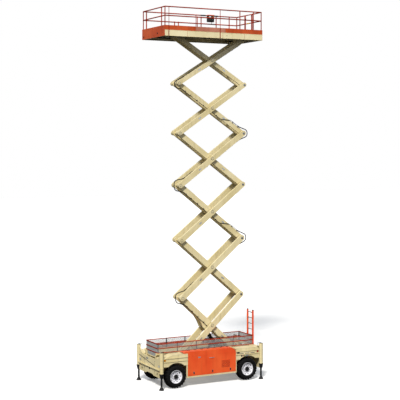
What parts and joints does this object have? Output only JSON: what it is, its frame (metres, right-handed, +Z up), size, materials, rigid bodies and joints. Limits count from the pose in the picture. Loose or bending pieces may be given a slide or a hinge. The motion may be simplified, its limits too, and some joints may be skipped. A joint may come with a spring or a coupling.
{
  "type": "rough-terrain scissor lift",
  "caption": "Self-propelled work platform on a stack of crossed arms, with rough-terrain wheels, levelling jacks, side bays, a guard fence and a rear ladder.",
  "frame": {"origin": "on the ground under the middle of the chassis", "axes": "+Z up, +X to the rear where the ladder is, left side at -Y"},
  "size_m": [5.0699, 2.52, 16.1979],
  "materials": {
    "cream_paint": "satin",
    "orange_paint": "satin",
    "dark_paint": "satin",
    "tyre": "matte",
    "rim_white": "gloss",
    "rod_chrome": "polished",
    "bare_steel": "brushed",
    "black_plastic": "matte",
    "hose_rubber": "matte",
    "engine_iron": "as cast"
  },
  "bodies": {
    "chassis": {"chassis_frame": "cream_paint", "deck": "cream_paint", "end_plate_front": "cream_paint", "end_plate_rear": "cream_paint", "front_axle": "dark_paint", "rear_axle": "dark_paint", "engine_bay": "cream_paint", "service_bay": "cream_paint", "engine_block": "engine_iron", "guard_fence": "orange_paint", "fence_posts": "dark_paint", "ladder": "orange_paint"},
    "arm_inner_1": {"arm_inner_1": "cream_paint", "hose_1": "hose_rubber"},
    "arm_outer_1": {"arm_outer_1": "cream_paint"},
    "arm_inner_2": {"arm_inner_2": "cream_paint"},
    "arm_outer_2": {"arm_outer_2": "cream_paint", "hose_2": "hose_rubber"},
    "arm_inner_3": {"arm_inner_3": "cream_paint", "hose_3": "hose_rubber"},
    "arm_outer_3": {"arm_outer_3": "cream_paint"},
    "arm_inner_4": {"arm_inner_4": "cream_paint"},
    "arm_outer_4": {"arm_outer_4": "cream_paint", "hose_4": "hose_rubber"},
    "arm_inner_5": {"arm_inner_5": "cream_paint", "hose_5": "hose_rubber"},
    "arm_outer_5": {"arm_outer_5": "cream_paint"},
    "arm_inner_6": {"arm_inner_6": "cream_paint"},
    "arm_outer_6": {"arm_outer_6": "cream_paint", "hose_6": "hose_rubber"},
    "platform": {"platform_deck": "cream_paint", "toe_boards": "orange_paint", "platform_rails": "orange_paint", "control_box": "black_plastic"},
    "gate": {"platform_gate": "orange_paint"},
    "cylinder_barrels": {"cylinder_barrels": "dark_paint"},
    "cylinder_rods": {"cylinder_rods": "rod_chrome"},
    "knuckle_left": {"knuckle_left": "dark_paint"},
    "knuckle_right": {"knuckle_right": "dark_paint"},
    "wheel_front_left": {"tyre_front_left": "tyre", "rim_front_left": "rim_white"},
    "wheel_front_right": {"tyre_front_right": "tyre", "rim_front_right": "rim_white"},
    "wheel_rear_left": {"tyre_rear_left": "tyre", "rim_rear_left": "rim_white"},
    "wheel_rear_right": {"tyre_rear_right": "tyre", "rim_rear_right": "rim_white"},
    "jack_front_left": {"jack_front_left": "dark_paint"},
    "jack_front_right": {"jack_front_right": "dark_paint"},
    "jack_rear_left": {"jack_rear_left": "dark_paint"},
    "jack_rear_right": {"jack_rear_right": "dark_paint"},
    "engine_hood": {"engine_hood": "orange_paint"},
    "service_hood": {"service_hood": "orange_paint"}
  },
  "joints": [
    {"name": "lift", "type": "hinge", "parent": "chassis", "child": "arm_inner_1", "pos_m": [1.845, 0, 1.06], "axis": [0, 1, 0], "range_deg": [-28.5, 0]},
    {"name": "fold_outer_2", "type": "hinge", "parent": "arm_inner_1", "child": "arm_outer_2", "pos_m": [-1.01737, 0, 3.66456], "axis": [0, 1, 0], "range_deg": [0, 57]},
    {"name": "fold_inner_3", "type": "hinge", "parent": "arm_outer_2", "child": "arm_inner_3", "pos_m": [1.93852, 0, 6.16248], "axis": [0, 1, 0], "range_deg": [-57, 0]},
    {"name": "fold_outer_4", "type": "hinge", "parent": "arm_inner_3", "child": "arm_outer_4", "pos_m": [-1.10692, 0, 8.55041], "axis": [0, 1, 0], "range_deg": [0, 57]},
    {"name": "fold_inner_5", "type": "hinge", "parent": "arm_outer_4", "child": "arm_inner_5", "pos_m": [2.02398, 0, 10.82514], "axis": [0, 1, 0], "range_deg": [-57, 0]},
    {"name": "fold_outer_6", "type": "hinge", "parent": "arm_inner_5", "child": "arm_outer_6", "pos_m": [-1.18817, 0, 12.98361], "axis": [0, 1, 0], "range_deg": [0, 57]},
    {"name": "fold_outer_1", "type": "hinge", "parent": "arm_inner_1", "child": "arm_outer_1", "pos_m": [0.43768, 0, 2.38851], "axis": [0, 1, 0], "range_deg": [0, 57]},
    {"name": "fold_inner_2", "type": "hinge", "parent": "arm_outer_2", "child": "arm_inner_2", "pos_m": [0.43768, 0, 4.94061], "axis": [0, 1, 0], "range_deg": [-57, 0]},
    {"name": "fold_outer_3", "type": "hinge", "parent": "arm_inner_3", "child": "arm_outer_3", "pos_m": [0.43768, 0, 7.38435], "axis": [0, 1, 0], "range_deg": [0, 57]},
    {"name": "fold_inner_4", "type": "hinge", "parent": "arm_outer_4", "child": "arm_inner_4", "pos_m": [0.43768, 0, 9.71646], "axis": [0, 1, 0], "range_deg": [-57, 0]},
    {"name": "fold_outer_5", "type": "hinge", "parent": "arm_inner_5", "child": "arm_outer_5", "pos_m": [0.43768, 0, 11.93381], "axis": [0, 1, 0], "range_deg": [0, 57]},
    {"name": "fold_inner_6", "type": "hinge", "parent": "arm_outer_6", "child": "arm_inner_6", "pos_m": [0.43768, 0, 14.03341], "axis": [0, 1, 0], "range_deg": [-57, 0]},
    {"name": "platform_level", "type": "hinge", "parent": "arm_outer_6", "child": "platform", "pos_m": [2.10091, 0, 15.02293], "axis": [0, 1, 0], "range_deg": [-28.5, 0]},
    {"name": "gate_swing", "type": "hinge", "parent": "platform", "child": "gate", "pos_m": [2.48, -0.255, 15.25293], "axis": [0, 0, 1], "range_deg": [0, 90]},
    {"name": "cylinder_swing", "type": "hinge", "parent": "chassis", "child": "cylinder_barrels", "pos_m": [1.2, 0, 0.85], "axis": [0, 1, 0], "range_deg": [-35.07, 0]},
    {"name": "cylinder_stroke", "type": "slide", "parent": "cylinder_barrels", "child": "cylinder_rods", "axis": [-0.5772, 0, 0.8166], "range_m": [-0.2946, 0]},
    {"name": "steer_left", "type": "hinge", "parent": "chassis", "child": "knuckle_left", "pos_m": [-1.74, -0.775, 0.5], "axis": [0, 0, 1], "range_deg": [-28, 28]},
    {"name": "steer_right", "type": "hinge", "parent": "chassis", "child": "knuckle_right", "pos_m": [-1.74, 0.775, 0.5], "axis": [0, 0, 1], "range_deg": [-28, 28]},
    {"name": "roll_front_left", "type": "hinge", "parent": "knuckle_left", "child": "wheel_front_left", "pos_m": [-1.74, -1.015, 0.5], "axis": [0, 1, 0], "continuous": true},
    {"name": "roll_front_right", "type": "hinge", "parent": "knuckle_right", "child": "wheel_front_right", "pos_m": [-1.74, 1.015, 0.5], "axis": [0, 1, 0], "continuous": true},
    {"name": "roll_rear_left", "type": "hinge", "parent": "chassis", "child": "wheel_rear_left", "pos_m": [1.74, -1.015, 0.5], "axis": [0, 1, 0], "continuous": true},
    {"name": "roll_rear_right", "type": "hinge", "parent": "chassis", "child": "wheel_rear_right", "pos_m": [1.74, 1.015, 0.5], "axis": [0, 1, 0], "continuous": true},
    {"name": "jack_front_left_lift", "type": "slide", "parent": "chassis", "child": "jack_front_left", "axis": [0, 0, 1], "range_m": [0, 0.35]},
    {"name": "jack_front_right_lift", "type": "slide", "parent": "chassis", "child": "jack_front_right", "axis": [0, 0, 1], "range_m": [0, 0.35]},
    {"name": "jack_rear_left_lift", "type": "slide", "parent": "chassis", "child": "jack_rear_left", "axis": [0, 0, 1], "range_m": [0, 0.35]},
    {"name": "jack_rear_right_lift", "type": "slide", "parent": "chassis", "child": "jack_rear_right", "axis": [0, 0, 1], "range_m": [0, 0.35]},
    {"name": "engine_hood_open", "type": "hinge", "parent": "chassis", "child": "engine_hood", "pos_m": [0, -0.8, 1.49], "axis": [-1, 0, 0], "range_deg": [0, 75]},
    {"name": "service_hood_open", "type": "hinge", "parent": "chassis", "child": "service_hood", "pos_m": [0, 0.8, 1.49], "axis": [1, 0, 0], "range_deg": [0, 75]}
  ],
  "couplings": [
    {"joint": "fold_outer_2", "follows": "lift", "ratio": -2},
    {"joint": "fold_inner_3", "follows": "lift", "ratio": 2},
    {"joint": "fold_outer_4", "follows": "lift", "ratio": -2},
    {"joint": "fold_inner_5", "follows": "lift", "ratio": 2},
    {"joint": "fold_outer_6", "follows": "lift", "ratio": -2},
    {"joint": "fold_outer_1", "follows": "lift", "ratio": -2},
    {"joint": "fold_inner_2", "follows": "lift", "ratio": 2},
    {"joint": "fold_outer_3", "follows": "lift", "ratio": -2},
    {"joint": "fold_inner_4", "follows": "lift", "ratio": 2},
    {"joint": "fold_outer_5", "follows": "lift", "ratio": -2},
    {"joint": "fold_inner_6", "follows": "lift", "ratio": 2},
    {"joint": "platform_level", "follows": "lift", "ratio": 1},
    {"joint": "cylinder_swing", "follows": "lift", "ratio": 1.1953},
    {"joint": "cylinder_stroke", "follows": "lift", "m_per_rad": 0.5822},
    {"joint": "steer_right", "follows": "steer_left", "ratio": 1}
  ]
}
